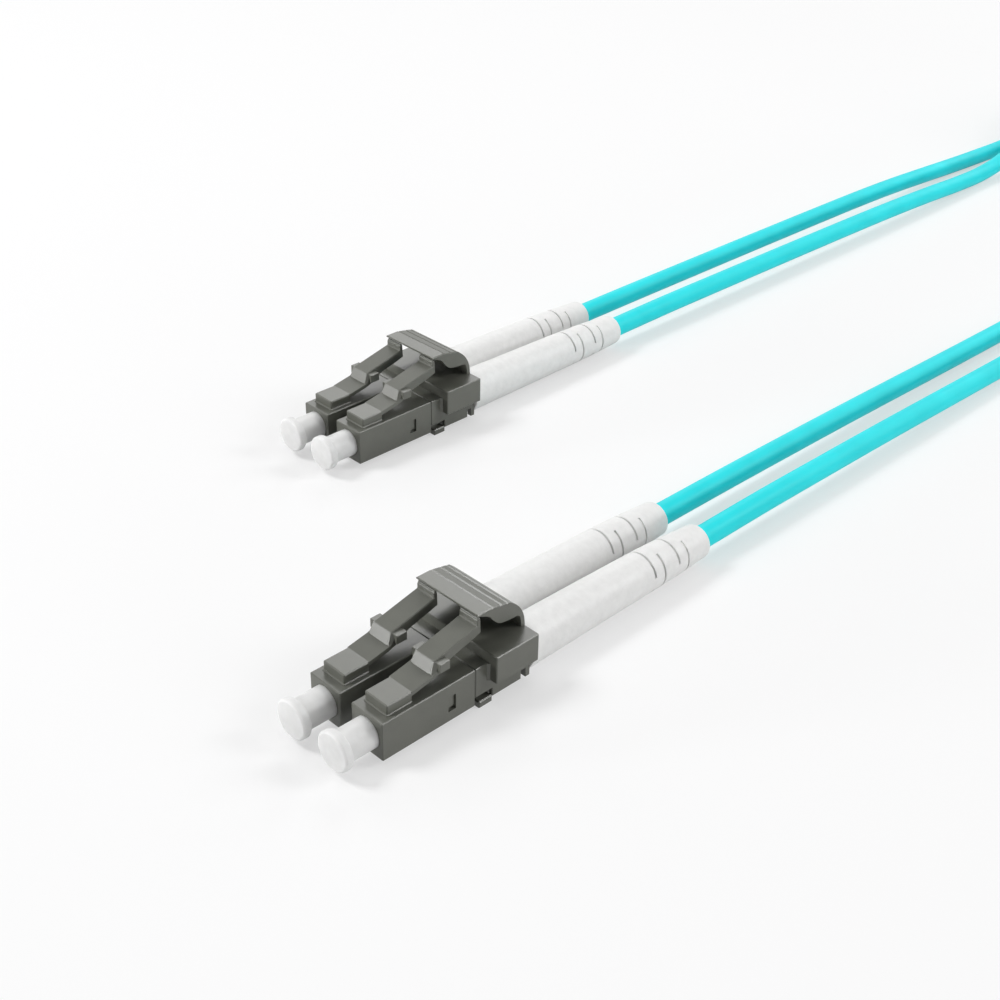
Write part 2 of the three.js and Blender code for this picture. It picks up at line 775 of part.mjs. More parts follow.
function addCords(model) {
  addMesh(model, 'cord_outer_b', cordStretchSolid(outerLegFromB, 22), aquaJacket());
  addMesh(model, 'cord_inner_b', cordStretchSolid(innerLegFromB, 22), aquaJacket());
  addMesh(model, 'cord_outer_a', cordStretchSolid(outerLegFromA, 18), aquaJacket());
  addMesh(model, 'cord_inner_a', cordStretchSolid(innerLegFromA, 18), aquaJacket());
  addMesh(model, 'coil_outer', coilSolid(0), aquaJacket());
  addMesh(model, 'coil_inner', coilSolid(2), aquaJacket());
  addMesh(model, 'tie_far', tieSolid(1), tieFabric());
  addMesh(model, 'tie_near', tieSolid(-1), tieFabric());
}

const model = new THREE.Group();
addPlug(model, 'a', -plugSpacing / 2, plugAFront);
addPlug(model, 'b', plugSpacing / 2, plugBFront);
addCords(model);

console.log(`coil: least gap to itself ${leastGap(coilCentreLine(0).centres, cordDiameter, 13).toFixed(2)} mm`);

export default model;
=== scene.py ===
"""Duplex fiber optic patch cord: two duplex plugs, their dust caps and boots, and two cord legs."""

import logging
import math
from dataclasses import dataclass
from enum import Enum
from typing import Callable, Iterable, Optional, Sequence

import bmesh
import bpy
from mathutils import Matrix, Vector


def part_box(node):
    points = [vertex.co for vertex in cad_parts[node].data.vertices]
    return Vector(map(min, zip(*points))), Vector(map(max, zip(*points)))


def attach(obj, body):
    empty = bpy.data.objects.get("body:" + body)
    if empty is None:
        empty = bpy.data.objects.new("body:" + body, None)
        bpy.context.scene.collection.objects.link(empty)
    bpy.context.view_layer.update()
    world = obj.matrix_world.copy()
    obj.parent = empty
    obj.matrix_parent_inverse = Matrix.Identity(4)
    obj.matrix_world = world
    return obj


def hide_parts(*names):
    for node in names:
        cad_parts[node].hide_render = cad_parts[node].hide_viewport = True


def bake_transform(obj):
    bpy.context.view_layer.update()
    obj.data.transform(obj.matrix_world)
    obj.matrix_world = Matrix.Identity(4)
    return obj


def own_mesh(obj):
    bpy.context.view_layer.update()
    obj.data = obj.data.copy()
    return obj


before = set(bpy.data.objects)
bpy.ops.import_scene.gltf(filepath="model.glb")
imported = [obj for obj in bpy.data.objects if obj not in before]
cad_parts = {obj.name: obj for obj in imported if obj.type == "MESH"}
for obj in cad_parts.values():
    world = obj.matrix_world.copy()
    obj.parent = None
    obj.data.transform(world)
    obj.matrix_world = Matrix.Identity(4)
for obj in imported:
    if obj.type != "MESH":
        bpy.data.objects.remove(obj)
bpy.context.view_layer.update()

log = logging.getLogger("patch_cord")

MM = 0.001
Span = tuple[float, float]
Point2 = tuple[float, float]
Point3 = tuple[float, float, float]
Outline = tuple[Point2, ...]


class Channel(Enum):
    """The two fiber channels of a duplex plug, by their side."""

    LEFT = -1
    RIGHT = 1

    @property
    def digit(self) -> str:
        """The channel's number in node names."""
        return "1" if self is Channel.LEFT else "2"


class Step(Enum):
    """How a solid joins another one, by the boolean's own words."""

    JOIN = "UNION"
    CUT = "DIFFERENCE"


@dataclass(frozen=True)
class PlugPlace:
    """Where one plug lies in the row frame, in millimetres."""

    tag: str
    x: float
    front: float
    floor: float = 0.71


PLUGS = (PlugPlace("a", -21.89, -5.5), PlugPlace("b", 21.89, -39.2))
PITCH = 6.25
AXIS = 2.26
ROOT = "cord_set"
ALONG = Vector((0.0, 1.0, 0.0))
ORIGIN = (0.0, 0.0, 0.0)
WHITE = (1.0, 1.0, 1.0, 1.0)


# ------------------------------------------------------------------ finishes


def seen_rays(nodes: bpy.types.Nodes, links: bpy.types.NodeLinks) -> bpy.types.NodeSocket:
    """Gives 1 for the rays that show a background: straight, mirrored or through clear material.

    Args:
        nodes: The tree's nodes.
        links: The tree's links.

    Returns:
        The socket that holds it.
    """
    rays = nodes.new("ShaderNodeLightPath")
    seen = rays.outputs["Is Camera Ray"]
    for kind in ("Is Glossy Ray", "Is Transmission Ray"):
        either = nodes.new("ShaderNodeMath")
        either.operation = "MAXIMUM"
        links.new(seen, either.inputs[0])
        links.new(rays.outputs[kind], either.inputs[1])
        seen = either.outputs["Value"]
    return seen


class NodeDesk:
    """Builds one material's node tree."""

    def __init__(self, name: str) -> None:
        """Starts a material with one Principled shader.

        Args:
            name: The material's name.
        """
        self.material = bpy.data.materials.new(name)
        self.material.use_nodes = True
        self.nodes = self.material.node_tree.nodes
        self.links = self.material.node_tree.links
        self.shader = self.nodes["Principled BSDF"]
        self.coords = self.nodes.new("ShaderNodeTexCoord")

    def set(self, **values: object) -> None:
        """Sets single-valued sockets of the shader.

        Args:
            **values: Socket names, with spaces as underscores, and their values.
        """
        for key, value in values.items():
            self.shader.inputs[key.replace("_", " ")].default_value = value

    def noise(self, scale: float, detail: float = 2.0, roughness: float = 0.5,
              stretch: Point3 = (1.0, 1.0, 1.0)) -> bpy.types.Node:
        """Adds a noise pattern on Object coordinates.

        Args:
            scale: Cells per metre.
            detail: Octaves of finer detail.
            roughness: Weight of the finer octaves.
            stretch: Scale of the pattern along each axis.

        Returns:
            The noise node.
        """
        mapping = self.nodes.new("ShaderNodeMapping")
        mapping.inputs["Scale"].default_value = stretch
        self.links.new(self.coords.outputs["Object"], mapping.inputs["Vector"])
        noise = self.nodes.new("ShaderNodeTexNoise")
        noise.inputs["Scale"].default_value = scale
        noise.inputs["Detail"].default_value = detail
        noise.inputs["Roughness"].default_value = roughness
        self.links.new(mapping.outputs["Vector"], noise.inputs["Vector"])
        return noise

    def tint(self, source: bpy.types.NodeSocket, low: Point3, high: Point3,
             span: Span = (0.3, 0.7)) -> None:
        """Varies the base colour between two tints.

        Args:
            source: The factor.
            low: Linear colour at the factor's low end.
            high: Linear colour at its high end.
            span: The factor's ends.
        """
        ramp = self.nodes.new("ShaderNodeValToRGB")
        for element, position, color in zip(ramp.color_ramp.elements, span, (low, high)):
            element.position = position
            element.color = (*color, 1.0)
        self.links.new(source, ramp.inputs["Fac"])
        self.links.new(ramp.outputs["Color"], self.shader.inputs["Base Color"])

    def gloss(self, source: bpy.types.NodeSocket, low: float, high: float) -> None:
        """Varies the roughness between two values.

        Args:
            source: The factor, 0 to 1.
            low: Roughness at 0.
            high: Roughness at 1.
        """
        span = self.nodes.new("ShaderNodeMapRange")
        span.inputs["To Min"].default_value = low
        span.inputs["To Max"].default_value = high
        self.links.new(source, span.inputs["Value"])
        self.links.new(span.outputs["Result"], self.shader.inputs["Roughness"])

    def show_pale(self, share: float, bounce: float, fade: Span) -> None:
        """Lets the camera and reflections see the material mixed with plain white.

        Args:
            share: White's share in what they see.
            bounce: The grey that the light's other rays meet.
            fade: Distances from the middle, in metres, between which the share grows to all.
        """
        seen = seen_rays(self.nodes, self.links)
        distance = self.nodes.new("ShaderNodeVectorMath")
        distance.operation = "LENGTH"
        self.links.new(self.coords.outputs["Object"], distance.inputs[0])
        grow = self.nodes.new("ShaderNodeMapRange")
        grow.inputs["From Min"].default_value, grow.inputs["From Max"].default_value = fade
        grow.inputs["To Min"].default_value = share
        self.links.new(distance.outputs["Value"], grow.inputs["Value"])
        scale = self.nodes.new("ShaderNodeMath")
        scale.operation = "MULTIPLY"
        self.links.new(seen, scale.inputs[0])
        self.links.new(grow.outputs["Result"], scale.inputs[1])
        white = self.nodes.new("ShaderNodeEmission")
        white.inputs["Strength"].default_value = 1.0
        dim = self.nodes.new("ShaderNodeBsdfDiffuse")
        dim.inputs["Color"].default_value = (bounce, bounce, bounce, 1.0)
        pick, mix = (self.nodes.new("ShaderNodeMixShader") for _ in range(2))
        output = next(node for node in self.nodes if node.type == "OUTPUT_MATERIAL")
        self.links.new(seen, pick.inputs["Fac"])
        self.links.new(dim.outputs["BSDF"], pick.inputs[1])
        self.links.new(self.shader.outputs["BSDF"], pick.inputs[2])
        self.links.new(scale.outputs["Value"], mix.inputs["Fac"])
        self.links.new(pick.outputs["Shader"], mix.inputs[1])
        self.links.new(white.outputs["Emission"], mix.inputs[2])
        self.links.new(mix.outputs["Shader"], output.inputs["Surface"])

    def bump(self, sources: Sequence[tuple[bpy.types.NodeSocket, float]], strength: float = 0.5) -> None:
        """Adds one bump per height, each with its own depth.

        Args:
            sources: Heights, each with its depth in metres.
            strength: Strength of every bump.
        """
        normal: Optional[bpy.types.NodeSocket] = None
        for height, depth in sources:
            bump = self.nodes.new("ShaderNodeBump")
            bump.inputs["Strength"].default_value = strength
            bump.inputs["Distance"].default_value = depth
            self.links.new(height, bump.inputs["Height"])
            if normal is not None:
                self.links.new(normal, bump.inputs["Normal"])
            normal = bump.outputs["Normal"]
        if normal is not None:
            self.links.new(normal, self.shader.inputs["Normal"])


@dataclass(frozen=True)
class MouldedPlastic:
    """Warm grey satin plastic with the fine spark grain of a mould."""

    name: str = "moulded_grey"
    low: Point3 = (0.1, 0.103, 0.087)
    high: Point3 = (0.113, 0.116, 0.098)
    roughness: Span = (0.27, 0.34)
    cloud_scale: float = 420.0
    cloud_depth: float = 0.00003
    grain_scale: float = 9000.0
    grain_depth: float = 0.000012
    relief: float = 0.35

    def build(self) -> bpy.types.Material:
        """Makes the material.

        Returns:
            The material.
        """
        desk = NodeDesk(self.name)
        clouds = desk.noise(self.cloud_scale, 3.0).outputs["Fac"]
        grain = desk.noise(self.grain_scale, 3.0, 0.6).outputs["Fac"]
        desk.tint(clouds, self.low, self.high)
        desk.gloss(clouds, *self.roughness)
        desk.bump(((grain, self.grain_depth), (clouds, self.cloud_depth)), self.relief)
        desk.set(Specular_IOR_Level=0.5)
        return desk.material


@dataclass(frozen=True)
class BootRubber:
    """White flexible boot with a faint mottle."""

    name: str = "boot_white"
    low: Point3 = (0.74, 0.74, 0.732)
    high: Point3 = (0.82, 0.82, 0.812)
    roughness: Span = (0.38, 0.52)
    mottle_scale: float = 1100.0
    mottle_depth: float = 0.00006
    cloud_scale: float = 300.0
    grain_scale: float = 7000.0
    grain_depth: float = 0.00001
    glow: float = 0.15
    glow_reach: float = 0.0006

    def build(self) -> bpy.types.Material:
        """Makes the material.

        Returns:
            The material.
        """
        desk = NodeDesk(self.name)
        mottle = desk.noise(self.mottle_scale, 4.0, 0.6).outputs["Fac"]
        clouds = desk.noise(self.cloud_scale, 2.0).outputs["Fac"]
        grain = desk.noise(self.grain_scale, 2.0).outputs["Fac"]
        desk.tint(mottle, self.low, self.high, (0.25, 0.75))
        desk.gloss(clouds, *self.roughness)
        desk.bump(((mottle, self.mottle_depth), (grain, self.grain_depth)))
        desk.set(Specular_IOR_Level=0.45, Subsurface_Weight=self.glow, Subsurface_Scale=self.glow_reach,
                 Subsurface_Radius=WHITE[:3])
        return desk.material


@dataclass(frozen=True)
class CapPlastic:
    """Milky white plastic of the dust caps."""

    name: str = "cap_milky"
    low: Point3 = (0.66, 0.66, 0.656)
    high: Point3 = (0.73, 0.73, 0.726)
    roughness: Span = (0.36, 0.5)
    cloud_scale: float = 700.0
    cloud_depth: float = 0.00005
    grain_scale: float = 6000.0
    grain_depth: float = 0.00001
    glow: float = 0.55
    glow_reach: float = 0.0016

    def build(self) -> bpy.types.Material:
        """Makes the material.

        Returns:
            The material.
        """
        desk = NodeDesk(self.name)
        clouds = desk.noise(self.cloud_scale, 3.0).outputs["Fac"]
        grain = desk.noise(self.grain_scale, 2.0).outputs["Fac"]
        desk.tint(clouds, self.low, self.high)
        desk.gloss(clouds, *self.roughness)
        desk.bump(((clouds, self.cloud_depth), (grain, self.grain_depth)))
        desk.set(
            Subsurface_Weight=self.glow, Subsurface_Scale=self.glow_reach, Subsurface_Radius=WHITE[:3],
        )
        return desk.material


@dataclass(frozen=True)
class CordJacket:
    """Aqua jacket with the slight drag lines of extrusion."""

    name: str = "cord_aqua"
    low: Point3 = (0.013, 0.695, 0.745)
    high: Point3 = (0.017, 0.765, 0.82)
    roughness: Span = (0.42, 0.52)
    drag_scale: float = 1800.0
    drag_depth: float = 0.00002
    cloud_scale: float = 160.0

    def build(self) -> bpy.types.Material:
        """Makes the material.

        Returns:
            The material.
        """
        desk = NodeDesk(self.name)
        drag = desk.noise(self.drag_scale, 2.0, 0.5, (1.0, 0.12, 1.0)).outputs["Fac"]
        clouds = desk.noise(self.cloud_scale, 2.0).outputs["Fac"]
        desk.tint(clouds, self.low, self.high)
        desk.gloss(drag, *self.roughness)
        desk.bump(((drag, self.drag_depth),), 0.4)
        desk.set(Specular_IOR_Level=0.22)
        return desk.material


@dataclass(frozen=True)
class TurnedMetal:
    """Plated metal with fine turning marks."""

    name: str
    low: Point3
    high: Point3
    roughness: Span = (0.24, 0.38)
    mark_scale: float = 5200.0
    mark_depth: float = 0.000008

    def build(self) -> bpy.types.Material:
        """Makes the material.

        Returns:
            The material.
        """
        desk = NodeDesk(self.name)
        marks = desk.noise(self.mark_scale, 2.0, 0.5, (0.15, 1.0, 0.15)).outputs["Fac"]
        desk.tint(marks, self.low, self.high)
        desk.gloss(marks, *self.roughness)
        desk.bump(((marks, self.mark_depth),), 0.4)
        desk.set(Metallic=1.0)
        return desk.material


@dataclass(frozen=True)
class PolishedCeramic:
    """Polished white ceramic of the ferrules."""

    name: str = "ferrule_ceramic"
    low: Point3 = (0.86, 0.86, 0.84)
    high: Point3 = (0.91, 0.91, 0.89)
    roughness: Span = (0.1, 0.18)
    cloud_scale: float = 2400.0

    def build(self) -> bpy.types.Material:
        """Makes the material.

        Returns:
            The material.
        """
        desk = NodeDesk(self.name)
        clouds = desk.noise(self.cloud_scale, 2.0).outputs["Fac"]
        desk.tint(clouds, self.low, self.high)
        desk.gloss(clouds, *self.roughness)
        desk.set(Coat_Weight=0.3, Coat_Roughness=0.08)
        return desk.material


@dataclass(frozen=True)
class WovenBand:
    """Dark woven hook and loop band of the coil's ties."""

    name: str = "tie_weave"
    low: Point3 = (0.012, 0.012, 0.013)
    high: Point3 = (0.035, 0.035, 0.036)
    roughness: Span = (0.75, 0.95)
    fuzz_scale: float = 3600.0
    fuzz_depth: float = 0.00008
    weave_scale: float = 2200.0
    weave_depth: float = 0.00015

    def build(self) -> bpy.types.Material:
        """Makes the material.

        Returns:
            The material.
        """
        desk = NodeDesk(self.name)
        fuzz = desk.noise(self.fuzz_scale, 4.0, 0.7).outputs["Fac"]
        weave = desk.nodes.new("ShaderNodeTexVoronoi")
        weave.inputs["Scale"].default_value = self.weave_scale
        desk.links.new(desk.coords.outputs["Object"], weave.inputs["Vector"])
        desk.tint(fuzz, self.low, self.high)
        desk.gloss(fuzz, *self.roughness)
        desk.bump(((weave.outputs["Distance"], self.weave_depth), (fuzz, self.fuzz_depth)), 0.8)
        desk.set(Sheen_Weight=0.4, Sheen_Roughness=0.5)
        return desk.material


class Finishes:
    """Every finish of the patch cord, each made once."""

    def __init__(self) -> None:
        """Makes the materials."""
        self.grey = MouldedPlastic().build()
        self.boot = BootRubber().build()
        self.cap = CapPlastic().build()
        self.cord = CordJacket().build()
        self.buffer = CordJacket("fiber_buffer", (0.04, 0.5, 0.55), (0.05, 0.58, 0.62)).build()
        self.steel = TurnedMetal("drawn_steel", (0.5, 0.5, 0.51), (0.62, 0.62, 0.63)).build()
        self.holder = TurnedMetal("plated_holder", (0.55, 0.57, 0.6), (0.68, 0.7, 0.72)).build()
        self.ceramic = PolishedCeramic().build()
        self.band = WovenBand().build()


# ------------------------------------------------------------------ mesh making, in millimetres


def eased(bm: bmesh.types.BMesh, width: float, segments: int = 1, least: float = 22.0,
          where: Optional[Callable[[Vector], bool]] = None) -> bmesh.types.BMesh:
    """Rounds a solid's sharp edges.

    Args:
        bm: The solid.
        width: Width of the rounding.
        segments: Faces across the rounding.
        least: Edges between faces at a smaller angle than this, in degrees, stay.
        where: Says from an edge's middle whether it is rounded.

    Returns:
        The same solid.
    """
    edges = [
        edge for edge in bm.edges
        if edge.is_manifold and edge.calc_face_angle(0.0) > math.radians(least)
        and (where is None or where((edge.verts[0].co + edge.verts[1].co) / 2))
    ]
    if width > 0 and edges:
        bmesh.ops.bevel(
            bm, geom=edges, offset=width, offset_type="OFFSET", segments=segments,
            profile=0.5, affect="EDGES", clamp_overlap=True, material=-1,
        )
    return bm


def slab(x: Span, y: Span, z: Span, round_off: float = 0.0) -> bmesh.types.BMesh:
    """Makes a block between three spans.

    Args:
        x: Its span across.
        y: Its span along.
        z: Its span in height.
        round_off: Width of the rounding of its edges.

    Returns:
        The block.
    """
    bm = bmesh.new()
    bmesh.ops.create_cube(bm, size=1.0)
    bmesh.ops.scale(bm, vec=[high - low for low, high in (x, y, z)], verts=bm.verts)
    bmesh.ops.translate(bm, vec=[(low + high) / 2 for low, high in (x, y, z)], verts=bm.verts)
    return eased(bm, round_off)


def middle_slab(width: float, y: Span, z: Span, round_off: float = 0.0) -> bmesh.types.BMesh:
    """Makes a block that is centred across.

    Args:
        width: Its size across.
        y: Its span along.
        z: Its span in height.
        round_off: Width of the rounding of its edges.

    Returns:
        The block.
    """
    return slab((-width / 2, width / 2), y, z, round_off)


def axis_slab(half: float, y: Span, round_off: float = 0.0) -> bmesh.types.BMesh:
    """Makes a square block round the channel's axis.

    Args:
        half: Half its side.
        y: Its span along.
        round_off: Width of the rounding of its edges.

    Returns:
        The block.
    """
    return middle_slab(2 * half, y, (AXIS - half, AXIS + half), round_off)


def prism(outline: Sequence[Point2], width: float, round_off: float = 0.0,
          least: float = 22.0) -> bmesh.types.BMesh:
    """Draws an outline in (y, z) out across the plug, centred.

    Args:
        outline: The outline's corners.
        width: Its size across.
        round_off: Width of the rounding of its edges.
        least: Edges between faces at a smaller angle than this, in degrees, stay.

    Returns:
        The solid.
    """
    bm = bmesh.new()
    verts = [bm.verts.new((-width / 2, y, z)) for y, z in outline]
    face = bm.faces.new(verts)
    grown = bmesh.ops.extrude_face_region(bm, geom=[face], use_keep_orig=True)
    moved = [item for item in grown["geom"] if isinstance(item, bmesh.types.BMVert)]
    bmesh.ops.translate(bm, vec=(width, 0.0, 0.0), verts=moved)
    bmesh.ops.recalc_face_normals(bm, faces=bm.faces)
    return eased(bm, round_off, least=least)


def turned(profile: Sequence[Point2], segments: int = 64, closed: bool = True) -> bmesh.types.BMesh:
    """Turns a (radius, y) profile about the channel's axis.

    Args:
        profile: The profile's corners, from end to end.
        segments: Faces round the axis.
        closed: Whether the profile's last corner joins its first, round a bore.

    Returns:
        The solid.
    """
    bm = bmesh.new()
    verts = [bm.verts.new((radius, y, 0.0)) for radius, y in profile]
    edges = [bm.edges.new(pair) for pair in zip(verts, verts[1:])]
    if closed:
        edges.append(bm.edges.new((verts[-1], verts[0])))
    bmesh.ops.spin(
        bm, geom=verts + edges, cent=ORIGIN, axis=ALONG,
        angle=math.tau, steps=segments, use_merge=True,
    )
    bmesh.ops.remove_doubles(bm, verts=bm.verts, dist=1e-5)
    bmesh.ops.translate(bm, vec=(0.0, 0.0, AXIS), verts=bm.verts)
    bmesh.ops.recalc_face_normals(bm, faces=bm.faces)
    return bm


def rod(radius: float, y: Span, segments: int = 48) -> bmesh.types.BMesh:
    """Makes a plain round rod on the channel's axis.

    Args:
        radius: Its radius.
        y: Its span along.
        segments: Faces round it.

    Returns:
        The rod.
    """
    return turned(((0.0, y[0]), (radius, y[0]), (radius, y[1]), (0.0, y[1])), segments, closed=False)


def sliced(bm: bmesh.types.BMesh, through: Point3, facing: Point3) -> bmesh.types.BMesh:
    """Cuts away the part of a solid on one side of a plane.

    Args:
        bm: The solid.
        through: A point on the plane.
        facing: The direction of the part that goes.

    Returns:
        The same solid.
    """
    cut = bmesh.ops.bisect_plane(
        bm, geom=bm.verts[:] + bm.edges[:] + bm.faces[:], dist=1e-4,
        plane_co=through, plane_no=facing, clear_outer=True,
    )
    edges = [item for item in cut["geom_cut"] if isinstance(item, bmesh.types.BMEdge)]
    bmesh.ops.holes_fill(bm, edges=edges)
    bmesh.ops.recalc_face_normals(bm, faces=bm.faces)
    return bm


def shifted(bm: bmesh.types.BMesh, by: Point3) -> bmesh.types.BMesh:
    """Moves a solid and returns it.

    Args:
        bm: The solid.
        by: The move.

    Returns:
        The same solid.
    """
    bmesh.ops.translate(bm, vec=by, verts=bm.verts)
    return bm


def as_object(name: str, bm: bmesh.types.BMesh) -> bpy.types.Object:
    """Turns a bmesh into an object of the scene.

    Args:
        name: The object's name.
        bm: The mesh, which is used up.

    Returns:
        The object.
    """
    mesh = bpy.data.meshes.new(name)
    bm.to_mesh(mesh)
    bm.free()
    obj = bpy.data.objects.new(name, mesh)
    bpy.context.scene.collection.objects.link(obj)
    return obj


def carved(joined: Sequence[bmesh.types.BMesh],
           cut: Sequence[bmesh.types.BMesh] = ()) -> bmesh.types.BMesh:
    """Joins solids into one and cuts others out of it.

    Args:
        joined: The solids that make it up.
        cut: The solids taken away.

    Returns:
        The result.
    """
    body = as_object("carving", joined[0])
    tools = [(as_object("joined", bm), Step.JOIN) for bm in joined[1:]]
    tools += [(as_object("cutter", bm), Step.CUT) for bm in cut]
    for tool, kind in tools:
        step = body.modifiers.new("step", "BOOLEAN")
        step.operation = kind.value
        step.solver = "EXACT"
        step.object = tool
    shape = body.evaluated_get(bpy.context.evaluated_depsgraph_get())
    bm = bmesh.new()
    bm.from_mesh(shape.to_mesh())
    shape.to_mesh_clear()
    for obj in [body] + [tool for tool, _ in tools]:
        mesh = obj.data
        bpy.data.objects.remove(obj)
        bpy.data.meshes.remove(mesh)
    return bm


def finished(name: str, bm: bmesh.types.BMesh, place: Point3, material: bpy.types.Material,
             sharp: float = 40.0) -> bpy.types.Object:
    """Brings a piece from its own millimetres to the row frame and dresses it.

    Args:
        name: The piece's name.
        bm: Its mesh, in millimetres.
        place: Where its own origin lies in the row frame, in millimetres.
        material: Its finish.
        sharp: Edges at a greater angle than this, in degrees, stay sharp.

    Returns:
        The object.
    """
    bmesh.ops.translate(bm, vec=place, verts=bm.verts)
    bmesh.ops.scale(bm, vec=(MM, MM, MM), verts=bm.verts)
    obj = as_object(name, bm)
    obj.data.materials.append(material)
    obj.data.shade_smooth()
    obj.data.set_sharp_from_angle(angle=math.radians(sharp))
    weigh = obj.modifiers.new("weighted", "WEIGHTED_NORMAL")
    weigh.keep_sharp = True
    return obj


def enroll(obj: bpy.types.Object, body: str, nodes: Iterable[str]) -> bpy.types.Object:
    """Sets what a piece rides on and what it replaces.

    Args:
        obj: The piece.
        body: The body that it rides on.
        nodes: The solids that it stands for.

    Returns:
        The same piece.
    """
    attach(obj, body)
    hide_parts(*nodes)
    log.info("%s: %d faces, rides on %s", obj.name, len(obj.data.polygons), body)
    return obj


# ------------------------------------------------------------------ camera, floor and light


@dataclass(frozen=True)
class Lamp:
    """One soft lamp that points at the plugs.

    Its bearing runs from +x towards +y and its height from the floor, both in degrees; its power is
    in watts and its width and height in metres.
    """

    name: str
    bearing: float
    height: float
    power: float
    size: Span


LAMPS = (
    Lamp("top", 0.0, 89.9, 1.02, (0.5, 0.5)),
    Lamp("back_high", 135.0, 37.0, 1.04, (0.3, 0.3)),
    Lamp("left_high", 225.0, 52.0, 3.55, (0.24, 0.24)),
    Lamp("side_mid", 180.0, 25.0, 0.35, (0.35, 0.3)),
    Lamp("right_low", 0.0, 5.0, 1.72, (0.4, 0.12)),
    Lamp("left_low", 225.0, 5.0, 0.41, (0.4, 0.12)),
    Lamp("front_low", 240.0, 5.0, 3.1, (0.12, 0.12)),
    Lamp("rear_mid", 45.0, 25.0, 1.2, (0.35, 0.3)),
    Lamp("rear_edge", 45.0, 37.0, 1.4, (0.22, 0.22)),
    Lamp("far_mid", 90.0, 25.0, 0.85, (0.35, 0.3)),
)


@dataclass
class Studio:
    """Camera, floor and lamps, in metres and degrees."""

    centre: Point3 = (0.11144, -0.10832, 0.09801)
    azimuth: float = 45.064
    elevation: float = 32.028
    roll: float = 1.243
    focal: float = 54.637
    sensor: float = 36.0
    clip: Span = (0.005, 50.0)
    floor_size: float = 6.0
    floor_low: Point3 = (0.915, 0.915, 0.918)
    floor_high: Point3 = (0.925, 0.925, 0.928)
    floor_white: float = 0.5
    floor_bounce: float = 0.7
    floor_fade: Span = (0.45, 0.75)
    world_level: float = 0.01
    lamp_reach: float = 0.8

    def camera(self) -> None:
        """Puts the camera at the photograph's place."""
        azimuth, elevation, roll = (math.radians(v) for v in (self.azimuth, self.elevation, self.roll))
        ahead = Vector((
            -math.sin(azimuth) * math.cos(elevation),
            math.cos(azimuth) * math.cos(elevation),
            -math.sin(elevation),
        ))
        right = ahead.cross(Vector((0.0, 0.0, 1.0))).normalized()
        up = right.cross(ahead)
        across = right * math.cos(roll) + up * math.sin(roll)
        above = up * math.cos(roll) - right * math.sin(roll)
        data = bpy.data.cameras.new("camera")
        data.lens = self.focal
        data.sensor_width = self.sensor
        data.clip_start, data.clip_end = self.clip
        camera = bpy.data.objects.new("camera", data)
        bpy.context.scene.collection.objects.link(camera)
        turn = Matrix((across, above, -ahead)).transposed().to_4x4()
        camera.matrix_world = Matrix.Translation(self.centre) @ turn
        bpy.context.scene.camera = camera

    def floor(self) -> None:
        """Lays the plain pale floor."""
        bm = bmesh.new()
        bmesh.ops.create_grid(bm, x_segments=1, y_segments=1, size=self.floor_size / 2)
        floor = as_object("floor", bm)
        desk = NodeDesk("floor_white")
        clouds = desk.noise(3.0, 1.0).outputs["Fac"]
        desk.tint(clouds, self.floor_low, self.floor_high)
        desk.set(Roughness=0.9, Specular_IOR_Level=0.1)
        desk.show_pale(self.floor_white, self.floor_bounce, self.floor_fade)
        floor.data.materials.append(desk.material)

    def world(self) -> None:
        """Lights the scene evenly and shows white behind it."""
        world = bpy.data.worlds.new("studio")
        bpy.context.scene.world = world
        world.use_nodes = True
        nodes, links = world.node_tree.nodes, world.node_tree.links
        nodes.clear()
        seen = seen_rays(nodes, links)
        mix = nodes.new("ShaderNodeMixShader")
        output = nodes.new("ShaderNodeOutputWorld")
        links.new(seen, mix.inputs["Fac"])
        for socket, strength in ((1, self.world_level), (2, 1.0)):
            shade = nodes.new("ShaderNodeBackground")
            shade.inputs["Color"].default_value = WHITE
            shade.inputs["Strength"].default_value = strength
            links.new(shade.outputs["Background"], mix.inputs[socket])
        links.new(mix.outputs["Shader"], output.inputs["Surface"])

    def hang(self, lamp: Lamp) -> None:
        """Hangs one lamp and turns it to the plugs.

        Args:
            lamp: The lamp.
        """
        data = bpy.data.lights.new(lamp.name, "AREA")
        data.shape = "RECTANGLE"
        data.energy = lamp.power
        data.size, data.size_y = lamp.size
        obj = bpy.data.objects.new(lamp.name, data)
        bpy.context.scene.collection.objects.link(obj)
        around, above = math.radians(lamp.bearing), math.radians(lamp.height)
        obj.location = self.lamp_reach * Vector((
            math.cos(around) * math.cos(above), math.sin(around) * math.cos(above), math.sin(above),
        ))
        obj.rotation_euler = (-obj.location).to_track_quat("-Z", "Y").to_euler()

    def build(self) -> None:
        """Sets up all of it."""
        self.camera()
        self.floor()
        self.world()
        for lamp in LAMPS:
            self.hang(lamp)
        bpy.context.scene.view_settings.view_transform = "Standard"


# ------------------------------------------------------------------ cords


Route = tuple[Point3, ...]

